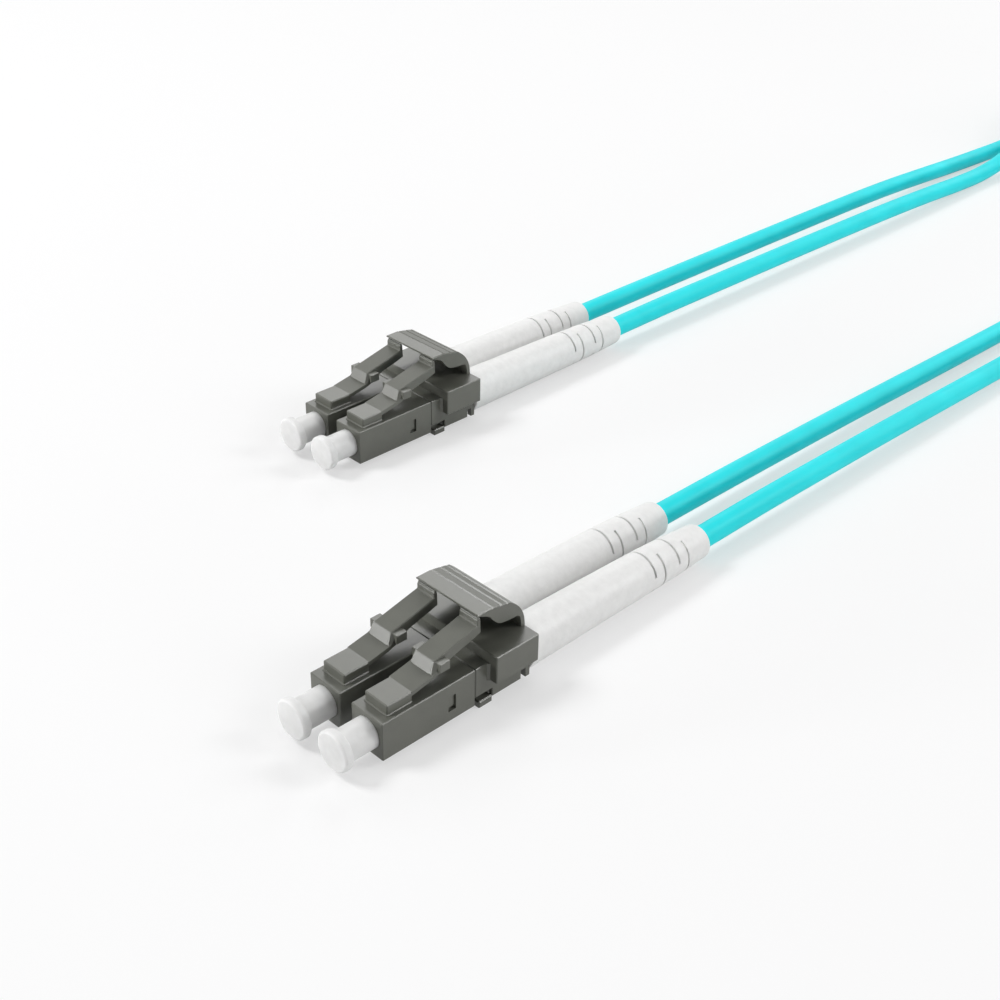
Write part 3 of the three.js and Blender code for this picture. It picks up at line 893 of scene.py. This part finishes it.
OUTER_FROM_B: Route = (
    (0.025015, 0.0101, 0.00272), (0.025015, 0.022, 0.0028), (0.02501, 0.034, 0.00266),
    (0.025, 0.046, 0.00247), (0.025, 0.058, 0.0022), (0.025, 0.07, 0.0019), (0.025, 0.082, 0.00165),
    (0.025, 0.094, 0.00147), (0.025, 0.106, 0.00142), (0.0249, 0.118, 0.00142), (0.0245, 0.13, 0.00142),
    (0.0238, 0.142, 0.00142), (0.0229, 0.154, 0.00146), (0.0219, 0.166, 0.0016),
    (0.0211, 0.178, 0.00185), (0.02065, 0.188, 0.00198), (0.02054, 0.1969, 0.00203),
)
INNER_FROM_B: Route = (
    (0.018765, 0.0101, 0.00284), (0.018765, 0.022, 0.0028), (0.018765, 0.034, 0.00266),
    (0.018765, 0.046, 0.00247), (0.018765, 0.058, 0.0022), (0.018765, 0.07, 0.0019),
    (0.018765, 0.082, 0.00165), (0.018765, 0.094, 0.00147), (0.018765, 0.106, 0.00142),
    (0.01877, 0.118, 0.00142), (0.0188, 0.13, 0.0016), (0.0189, 0.142, 0.0025), (0.0191, 0.154, 0.0042),
    (0.0195, 0.166, 0.0064), (0.02, 0.178, 0.0082), (0.02045, 0.188, 0.0086), (0.02054, 0.1969, 0.00863),
)
OUTER_FROM_A: Route = (
    (-0.025015, 0.0438, 0.00292), (-0.025015, 0.056, 0.00297), (-0.025015, 0.068, 0.00297),
    (-0.025015, 0.08, 0.00297), (-0.025015, 0.092, 0.00294), (-0.025015, 0.104, 0.0029),
    (-0.025015, 0.116, 0.0028), (-0.025015, 0.126, 0.00255), (-0.025015, 0.136, 0.0021),
    (-0.025, 0.146, 0.00162), (-0.0248, 0.154, 0.00144), (-0.0242, 0.163, 0.0016),
    (-0.023, 0.172, 0.0026), (-0.0216, 0.182, 0.0043), (-0.02075, 0.19, 0.0052),
    (-0.02054, 0.1969, 0.00533),
)
INNER_FROM_A: Route = (
    (-0.018765, 0.0438, 0.00285), (-0.018765, 0.056, 0.00296), (-0.018765, 0.068, 0.00292),
    (-0.018765, 0.08, 0.00286), (-0.018765, 0.092, 0.00278), (-0.018765, 0.104, 0.00268),
    (-0.018765, 0.116, 0.0025), (-0.018765, 0.128, 0.00215), (-0.018765, 0.138, 0.00175),
    (-0.01877, 0.146, 0.00175), (-0.0188, 0.153, 0.0026), (-0.01895, 0.161, 0.0043),
    (-0.0193, 0.17, 0.0069), (-0.0199, 0.18, 0.0098), (-0.0204, 0.189, 0.01165),
    (-0.02054, 0.1969, 0.01193),
)


@dataclass
class CordLegs:
    """The two cord legs and their shared coil, in metres."""

    finish: Finishes
    diameter: float = 0.0028
    round_steps: int = 9
    free_length: float = 0.9
    coil_centre: float = 0.2
    middle_radius: float = 0.016
    turns: float = 5.5
    pitch: float = 0.0033
    coil_floor: float = 0.00203
    climb_turns: float = 0.5
    points_per_turn: int = 36
    tuck: float = 0.0003
    tie_width: float = 6.0
    tie_thickness: float = 0.5
    tie_gap: float = 0.03
    tie_corners: Span = (1.3, 0.85)

    def coil_points(self, lower_layer: int) -> list[Vector]:
        """Gives one leg's coil: it spirals in, climbs a layer and spirals out.

        Args:
            lower_layer: The layer that it starts on.

        Returns:
            Points on the coil's centre line.
        """
        inner = self.middle_radius - self.pitch * self.turns / 4
        points = []
        for i in range(int(self.turns * self.points_per_turn) + 1):
            turns = i / self.points_per_turn
            past = turns - self.turns / 2 + self.climb_turns / 2
            share = min(1.0, max(0.0, past / self.climb_turns))
            climb = share * share * (3.0 - 2.0 * share)
            radius = inner + self.pitch * abs(turns - self.turns / 2)
            points.append(Vector((
                radius * math.cos(math.tau * turns),
                self.coil_centre + radius * math.sin(math.tau * turns),
                self.coil_floor + self.pitch * (lower_layer + climb),
            )))
        return points

    def leg(self, name: str, start: Route, lower_layer: int, end: Route, boots: tuple[str, str],
            nodes: Sequence[str], held: Sequence[bpy.types.Object] = ()) -> bpy.types.Object:
        """Makes one leg as one unbroken curve.

        Args:
            name: The leg's name.
            start: Its route from the near plug to the coil.
            lower_layer: The coil's layer that it enters on.
            end: Its route from the far plug to the coil.
            boots: The boots that it leaves and enters.
            nodes: The solids that it stands for.
            held: The ties on it. Not used.

        Returns:
            The curve's object.
        """
        inward = Vector((0.0, self.tuck, 0.0))
        points = [Vector(start[0]) - inward] + [Vector(p) for p in start]
        points += self.coil_points(lower_layer)
        points += [Vector(p) for p in reversed(end)] + [Vector(end[0]) - inward]
        data = bpy.data.curves.new(name, "CURVE")
        data.dimensions = "3D"
        data.bevel_depth = self.diameter / 2
        data.bevel_resolution = self.round_steps
        data.use_fill_caps = True
        data.resolution_u = 6
        spline = data.splines.new("BEZIER")
        spline.bezier_points.add(len(points) - 1)
        for knot, point in zip(spline.bezier_points, points):
            knot.co = point
            knot.handle_left_type = "AUTO"
            knot.handle_right_type = "AUTO"
        obj = bpy.data.objects.new(name, data)
        bpy.context.scene.collection.objects.link(obj)
        data.materials.append(self.finish.cord)
        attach(obj, ROOT)
        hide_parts(*nodes)
        log.info("%s: %d points, from %s to %s", name, len(points), *boots)
        return obj

    def tie_ring(self, y: Span, top: float, inset: float, corner: float,
                 grow: float = 0.0) -> bmesh.types.BMesh:
        """Makes a rounded bar of a tie's outline.

        Args:
            y: The tie's span along, in millimetres.
            top: Its height.
            inset: How far inside that the bar lies.
            corner: Width of the rounding of its long edges.
            grow: How much wider than the tie it is.

        Returns:
            The bar.
        """
        near, far, high = y[0] + inset, y[1] - inset, top - inset
        bar = prism(((near, inset), (far, inset), (far, high), (near, high)), self.tie_width + grow)
        return eased(bar, corner, 5, where=lambda middle: abs(middle.x) < self.tie_width / 4)

    def tie(self, name: str, node: str) -> bpy.types.Object:
        """Makes one band round the coil.

        Args:
            name: The band's name.
            node: The solid that it stands for.

        Returns:
            The band.
        """
        low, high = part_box(node)
        y = (low[1] / MM, high[1] / MM)
        top = high[2] / MM
        outer = self.tie_ring(y, top, self.tie_gap, self.tie_corners[0])
        hole = self.tie_ring(y, top, self.tie_gap + self.tie_thickness, self.tie_corners[1], 2.0)
        obj = finished(name, carved([outer], [hole]), ORIGIN, self.finish.band)
        return enroll(obj, ROOT, [node])

    def build(self) -> None:
        """Makes both legs and both ties."""
        ties = [self.tie("band_far", "tie_far"), self.tie("band_near", "tie_near")]
        self.leg("leg_outer", OUTER_FROM_B, 0, OUTER_FROM_A, ("boot_b2", "boot_a1"),
                 ("cord_outer_b", "coil_outer", "cord_outer_a"), ties)
        self.leg("leg_inner", INNER_FROM_B, 2, INNER_FROM_A, ("boot_b1", "boot_a2"),
                 ("cord_inner_b", "coil_inner", "cord_inner_a"))


# ------------------------------------------------------------------ one channel


@dataclass
class ChannelParts:
    """Dust cap, housing, latch, rear body, boot and spring of one channel, in millimetres.

    Distances along count from the housing's front face, heights from its underside. Outlines are
    rows of (along, height) and turned profiles rows of (radius, along).
    """

    finish: Finishes
    size: float = 4.52
    length: float = 12.0
    bore: float = 1.78
    bore_depth: float = 4.4
    cavity: float = 3.3
    window: Span = (8.4, 9.4)
    window_z: Span = (1.25, 3.05)
    pad: Span = (1.17, 4.24)
    pad_width: float = 3.26
    pad_top: float = 5.72
    pad_sunk: float = 0.4
    pad_edge: float = 0.12
    foot_margin: float = 0.1
    foot_height: float = 0.15
    ferrule_bore: float = 0.715
    fiber_bore: float = 0.51
    fine_sides: int = 24
    arm_width: float = 2.62
    arm_edge: float = 0.1
    step: float = 6.86
    wedge_outline: Outline = ((6.89, 6.0), (8.2, 6.45), (8.3, 7.26), (7.36, 7.44), (6.89, 6.24))
    upper_outline: Outline = (
        (6.86, 5.75), (8.38, 6.17), (9.6, 6.62), (10.2, 6.82), (12.65, 7.45), (13.62, 7.75),
        (13.53, 9.47), (13.38, 9.62), (13.2, 9.62), (13.17, 9.42), (13.1, 9.36), (13.1, 8.77),
        (7.36, 7.46), (6.86, 6.2),
    )
    ear_width: float = 4.1
    ears: Span = (7.52, 8.86)
    ears_z: Span = (6.3, 7.36)
    edge: float = 0.09
    tabs: Span = (8.405, 9.395)
    tab_depths: Span = (0.22, 0.4)
    nose: Span = (8.0, 12.5)
    nose_half: float = 1.59
    shank: Span = (12.0, 18.3)
    shank_half: float = 1.75
    stem: Span = (12.53, 16.6)
    keel: Span = (14.3, 15.6)
    stem_width: float = 2.8
    neck: Span = (17.8, 23.5)
    neck_radius: float = 1.3
    spring_bore: float = 1.35
    rail: Span = (12.53, 14.4)
    rail_z: Span = (-0.71, 0.13)
    boot_start: float = 19.7
    boot_end: float = 49.0
    boot_radius: float = 2.74
    boot_sides: int = 96
    socket_radius: float = 1.78
    socket_end: float = 27.9
    slits: tuple[float, ...] = (39.0, 40.62, 43.15, 44.77)
    slit_middles: tuple[Span, Span] = ((78.0, 262.0), (-2.0, 200.0))
    slit_floor: float = 1.91
    slit_ceiling: float = 3.4
    slit_half: float = 0.15
    slit_sweep: float = 140.0
    slit_steps: int = 28
    slit_shift: float = 0.24
    boot_taper: Outline = ((2.6, 30.0), (2.47, 40.0), (2.33, 44.4), (2.2, 46.7), (2.12, 48.3))
    lip_radius: float = 1.72
    lip_size: Point2 = (0.37, 0.42)
    lip_steps: int = 5
    cord_bore: float = 1.46
    bore_round: Point2 = (0.06, 0.08)
    cap_sides: int = 72
    cap_profile: Outline = (
        (0.0, -4.3), (2.0, -4.3), (2.2, -4.12), (2.2, -3.46), (2.1, -3.33), (1.95, -3.28),
        (1.78, -3.2), (1.72, -3.05), (1.72, 3.3), (1.6, 3.5), (0.75, 3.5), (0.715, 3.45),
        (0.715, -2.0), (0.0, -2.0),
    )
    sag_start: float = 28.0
    wire_radius: float = 0.12
    wire_sides: int = 8
    spring_radius: float = 1.1
    spring_curls: int = 5
    steps_per_curl: int = 24
    ferrule_travel: float = 1.0
    sags: tuple[tuple[str, float], ...] = (("a1", 0.05), ("a2", 0.12), ("b1", 0.13), ("b2", 0.25))
    fine_nodes: tuple[tuple[str, str], ...] = (
        ("ferrule", "ceramic"), ("ferrule_holder", "holder"),
        ("fiber", "buffer"), ("crimp_sleeve", "steel"), ("jacket_end", "cord"),
    )

    def housing(self) -> bmesh.types.BMesh:
        """Makes the housing with its latch pad, bores and windows.

        Returns:
            The housing.
        """
        shell = middle_slab(self.size, (0.0, self.length), (0.0, self.size), self.edge)
        near, far = self.pad
        low = self.size - self.pad_sunk
        pad = eased(
            prism(((near, low), (far, low), (far, self.pad_top), (near, self.pad_top)), self.pad_width),
            self.pad_edge, where=lambda middle: middle.y < far - 0.01,
        )
        foot = middle_slab(
            self.pad_width + 2 * self.foot_margin, (near - self.foot_margin, far + 0.04),
            (self.size - 0.3, self.size + self.foot_height), 0.08,
        )
        return carved([shell, foot, pad], [
            rod(self.bore, (-1.0, self.bore_depth)),
            rod(self.ferrule_bore, (-1.0, self.length), self.fine_sides),
            axis_slab(self.cavity / 2, (self.bore_depth + 1.0, self.length + 1.0)),
            middle_slab(self.size + 2.0, self.window, self.window_z),
        ])

    def latch(self) -> bmesh.types.BMesh:
        """Makes the latch arm, whose root runs into the pad.

        Returns:
            The arm.
        """
        root, top, step = self.pad[1], self.pad_top, self.step
        lower = prism((
            (root, top - 0.5), (4.4, top - 0.48), (step, 5.69), (7.8, 6.0), (7.8, 6.6),
            (step + 0.03, 6.19), (root + 0.06, top), (root, top),
        ), self.pad_width)
        eased(
            lower, self.arm_edge,
            where=lambda middle: root + 0.1 < middle.y < 7.3 and abs(middle.x) > 1.6,
        )
        wedge = prism(self.wedge_outline, self.pad_width + 0.05)
        for side in (-1, 1):
            sliced(wedge, (side * 1.46, step, 6.2), (side * 0.78, -0.54, 0.31))
        bmesh.ops.triangulate(wedge, faces=wedge.faces)
        upper = prism(self.upper_outline, self.arm_width, self.edge, 50.0)
        ears = middle_slab(self.ear_width, self.ears, self.ears_z, 0.06)
        return carved([upper, wedge, lower, ears])

    def rear_body(self) -> bmesh.types.BMesh:
        """Makes the rear body with its snap tabs, stem, rail and neck.

        Returns:
            The rear body.
        """
        sill, lintel = self.window_z
        shallow, deep = (self.size - 2 * depth for depth in self.tab_depths)
        return carved([
            axis_slab(self.nose_half, self.nose),
            middle_slab(shallow, self.tabs, (sill + 0.3, lintel - 0.005), 0.05),
            middle_slab(deep, self.tabs, (sill + 0.005, sill + 0.5)),
            axis_slab(self.shank_half, self.shank, 0.05),
            middle_slab(self.stem_width, self.stem, (-0.08, AXIS)),
            middle_slab(self.stem_width, self.keel, (-0.64, 1.0)),
            middle_slab(self.size, self.rail, self.rail_z, 0.12),
            rod(self.neck_radius, self.neck),
        ], [
            rod(self.spring_bore, (7.0, 11.4)),
            rod(self.fiber_bore, (11.0, 24.0), self.fine_sides),
        ])

    def boot(self, sag: float) -> bmesh.types.BMesh:
        """Makes the tapered boot with its slits.

        Args:
            sag: How far the cord's weight draws its tip down.

        Returns:
            The boot.
        """
        start, end = self.boot_start, self.boot_end
        chamfer = 0.08
        profile = [
            (self.socket_radius, start), (self.boot_radius - chamfer, start),
            (self.boot_radius, start + chamfer), *self.boot_taper,
        ]
        wide, long = self.lip_size
        for i in range(self.lip_steps + 1):
            turn = math.radians(90.0 * i / self.lip_steps)
            profile.append((self.lip_radius + wide * math.cos(turn), end - long + long * math.sin(turn)))
        wide, long = self.bore_round
        profile += [
            (self.cord_bore + wide, end), (self.cord_bore, end - long),
            (self.cord_bore, self.socket_end), (self.socket_radius, self.socket_end),
        ]
        cutters = []
        for ring, y in enumerate(self.slits):
            cutters += [self.slit(y, middle) for middle in self.slit_middles[ring % 2]]
        body = carved([turned(profile, self.boot_sides)], cutters)
        for vert in body.verts:
            along = max(0.0, vert.co.y - self.sag_start) / (self.boot_end - self.sag_start)
            vert.co.z -= sag * along * along
        return body

    def slit(self, y: float, middle: float) -> bmesh.types.BMesh:
        """Makes the cutter of one slit, part of the way round the boot and shallower at one end.

        Args:
            y: Where the slit lies along the boot.
            middle: The angle of its middle, from +x to +z, in degrees.

        Returns:
            The cutter.
        """
        bm = bmesh.new()
        near, far = y - self.slit_half, y + self.slit_half
        inner, outer = self.slit_floor, self.slit_ceiling
        corners = ((inner, near), (outer, near), (outer, far), (inner, far))
        verts = [bm.verts.new((radius, along, 0.0)) for radius, along in corners]
        edges = [bm.edges.new((verts[i], verts[(i + 1) % 4])) for i in range(4)]
        half = self.slit_sweep / 2
        bmesh.ops.rotate(
            bm, verts=verts, cent=ORIGIN, matrix=Matrix.Rotation(math.radians(half - middle), 3, "Y"),
        )
        bmesh.ops.spin(
            bm, geom=verts + edges, cent=ORIGIN, axis=-ALONG,
            angle=math.radians(self.slit_sweep), steps=self.slit_steps, use_merge=False,
        )
        bmesh.ops.holes_fill(bm, edges=bm.edges)
        shallow = math.radians(middle + half)
        across, up = self.slit_shift * math.cos(shallow), self.slit_shift * math.sin(shallow)
        shifted(bm, (across, 0.0, AXIS + up))
        bmesh.ops.recalc_face_normals(bm, faces=bm.faces)
        return bm

    def dust_cap(self) -> bmesh.types.BMesh:
        """Makes the dust cap with its grip disc and bore."""
        return eased(turned(self.cap_profile, self.cap_sides, closed=False), 0.05, 2, 30.0)

    def build(self, plug: PlugPlace, side: Channel) -> None:
        """Makes all of one channel's pieces.

        Args:
            plug: The plug.
            side: The channel.
        """
        tag = plug.tag + side.digit
        place = (plug.x + side.value * PITCH / 2, plug.front, plug.floor)
        grey = self.finish.grey
        shell = finished(f"shell_{tag}", self.housing(), place, grey, sharp=25.0)
        enroll(shell, ROOT, [f"housing_{tag}"])
        shank = finished(f"shank_{tag}", self.rear_body(), place, grey, sharp=25.0)
        enroll(shank, ROOT, [f"rear_body_{tag}"])
        relief = finished(f"relief_{tag}", self.boot(dict(self.sags)[tag]), place, self.finish.boot)
        enroll(relief, ROOT, [f"boot_{tag}"])
        cap = finished(f"cap_{tag}", self.dust_cap(), place, self.finish.cap)
        enroll(cap, f"dust_cap_{tag}", [f"dust_cap_{tag}"])
        arm = finished(f"arm_{tag}", self.latch(), place, grey, sharp=20.0)
        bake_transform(arm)
        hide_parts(f"latch_{tag}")
        log.info("%s bends between %s and latch_%s", arm.name, ROOT, tag)
        self.spring(tag, place)
        for node, finish in self.fine_nodes:
            self.dress(f"{node}_{tag}", getattr(self.finish, finish))

    def coil(self, y: Span) -> bmesh.types.BMesh:
        """Makes the wound wire that pushes the ferrule's holder.

        Args:
            y: Its span along.

        Returns:
            The spring.
        """
        bm = bmesh.new()
        start = Matrix.Translation((self.spring_radius, y[0] + self.wire_radius, AXIS))
        wire = bmesh.ops.create_circle(
            bm, segments=self.wire_sides, radius=self.wire_radius, matrix=start,
        )["verts"]
        steps = self.spring_curls * self.steps_per_curl
        rise = (y[1] - y[0] - 2 * self.wire_radius) / steps
        bmesh.ops.spin(
            bm, geom=wire + bm.edges[:], cent=(0.0, 0.0, AXIS), axis=ALONG, dvec=(0.0, rise, 0.0),
            angle=math.tau * self.spring_curls, steps=steps, use_merge=False,
        )
        bmesh.ops.holes_fill(bm, edges=bm.edges)
        bmesh.ops.recalc_face_normals(bm, faces=bm.faces)
        return bm

    def spring(self, tag: str, place: Point3) -> None:
        """Makes one channel's spring.

        Args:
            tag: The channel's letters in node names.
            place: Where the channel's own origin lies in the row frame.
        """
        low, high = (corner[1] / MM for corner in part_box(f"spring_{tag}"))
        wound = self.coil((low - place[1], high - place[1]))
        coil = finished(f"coil_spring_{tag}", wound, place, self.finish.steel)
        enroll(coil, ROOT, [f"spring_{tag}"])
        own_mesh(coil)

    def dress(self, node: str, material: bpy.types.Material) -> None:
        """Gives a solid that stays its finish.

        Args:
            node: The solid's node.
            material: Its finish.
        """
        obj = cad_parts[node]
        for slot in obj.material_slots:
            slot.material = material
        log.info("%s keeps its solid", node)


# ------------------------------------------------------------------ clip and trigger of one plug


@dataclass
class ClipAndTrigger:
    """The clip over both rear bodies and the trigger on it, in millimetres.

    The trigger's outline runs round its side: its nose, its underside down to its foot, its back and
    the grooved lands on its top.
    """

    finish: Finishes
    collar: Span = (12.04, 15.0)
    collar_z: Span = (0.95, 4.52)
    skirt: Span = (14.36, 18.46)
    skirt_z: Span = (-0.1, 2.9)
    block_span: Span = (13.78, 19.64)
    block_width: float = 13.16
    block_z: Span = (2.4, 5.72)
    outer_width: float = 10.77
    channel_width: float = 3.62
    seat_radius: float = 3.05
    seat_sides: int = 64
    fillet: Span = (13.52, 14.2)
    fillet_z: Span = (2.41, 4.5)
    leg_width: float = 0.7
    leg: Span = (19.04, 19.68)
    leg_z: Span = (-0.17, 2.9)
    trigger_width: float = 9.0
    trigger_front: float = 13.08
    trigger_top: float = 10.1
    side_chamfer: float = 0.12
    under: Outline = (
        (14.5, 9.28), (14.8, 9.0), (15.03, 8.67), (15.28, 8.35), (15.54, 8.08), (15.76, 7.88),
        (15.96, 7.74), (16.32, 7.6), (16.81, 7.5), (17.3, 7.43), (17.67, 7.39), (18.2, 7.38),
        (18.6, 7.33), (18.84, 7.2), (18.97, 6.95), (19.06, 6.5), (19.14, 5.78), (19.14, 5.45),
    )
    back: Outline = (
        (19.64, 5.45), (19.64, 5.78), (19.6, 6.3), (19.52, 6.8), (19.38, 7.27), (19.2, 7.68),
        (18.95, 8.1), (18.66, 8.5), (18.3, 8.87), (17.9, 9.2),
    )
    lands: Outline = (
        (17.64, 9.42), (17.28, 9.6), (17.06, 9.44), (17.0, 9.66), (16.4, 9.8), (16.16, 9.63),
        (16.1, 9.86), (15.24, 10.01), (14.98, 9.82),
    )
    edge: float = 0.09

    def clip(self) -> bmesh.types.BMesh:
        """Makes the clip with its collar, skirt, legs and corner fillets.

        Returns:
            The clip.
        """
        (near, far), (low, high) = self.block_span, self.block_z
        parts = [
            prism(((near, low), (far, low), (far, high), (near, high)), self.block_width, self.edge),
            middle_slab(self.outer_width, self.collar, self.collar_z, self.edge),
            middle_slab(self.outer_width, self.skirt, self.skirt_z, self.edge),
        ]
        legs, cut = [], []
        for side in (-1, 1):
            edge = side * self.outer_width / 2
            across = tuple(sorted((edge, edge - side * self.leg_width)))
            legs.append(slab(across, self.leg, self.leg_z, 0.05))
            parts.append(slab(across, (17.5, far), (1.0, self.skirt_z[1]), 0.03))
            beside = tuple(sorted((edge - side * 0.3, edge + side * 0.26)))
            corner = slab(beside, self.fillet, self.fillet_z)
            parts.append(sliced(corner, (edge, self.fillet[0], 3.0), (side * 0.71, -0.71, 0.0)))
            ceiling = AXIS + self.channel_width / 2
            channel = middle_slab(self.channel_width, (11.0, 20.6), (-2.0, ceiling))
            seat = rod(self.seat_radius, (far, 21.6), self.seat_sides)
            cut += [shifted(tool, (side * PITCH / 2, 0.0, 0.0)) for tool in (channel, seat)]
        return carved([carved(parts, cut)] + legs)

    def trigger(self) -> bmesh.types.BMesh:
        """Makes the trigger, whose foot runs into the clip.

        Returns:
            The trigger.
        """
        front, top = self.trigger_front, self.trigger_top
        nose = ((front, top - 0.28), (front + 0.28, top - 0.27))
        crown = ((14.92, top), (front, top))
        lever = prism(nose + self.under + self.back + self.lands + crown, self.trigger_width)
        half = self.trigger_width / 2
        for side in (-1, 1):
            for slope in (0.0, 0.14):
                through = (side * (half - self.side_chamfer), front + 1.84, top)
                sliced(lever, through, (side * 0.7, slope, 0.7))
        return eased(
            lever, 0.05, least=30.0,
            where=lambda middle: middle.y < front + 0.01 and abs(middle.x) < half - 0.2,
        )

    def build(self, plug: PlugPlace) -> None:
        """Makes both pieces of one plug.

        Args:
            plug: The plug.
        """
        place = (plug.x, plug.front, plug.floor)
        grey = self.finish.grey
        saddle = finished(f"saddle_{plug.tag}", self.clip(), place, grey, sharp=25.0)
        enroll(saddle, ROOT, [f"clip_{plug.tag}"])
        lever = finished(f"lever_{plug.tag}", self.trigger(), place, grey, sharp=26.0)
        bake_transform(lever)
        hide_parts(f"trigger_{plug.tag}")
        log.info("%s bends between %s and trigger_%s", lever.name, ROOT, plug.tag)


def main() -> None:
    """Builds the scene in order."""
    logging.basicConfig(level=logging.INFO, format="%(message)s")
    Studio().build()
    finishes = Finishes()
    CordLegs(finishes).build()
    for plug in PLUGS:
        for side in Channel:
            ChannelParts(finishes).build(plug, side)
        ClipAndTrigger(finishes).build(plug)


if __name__ == "__main__":
    main()
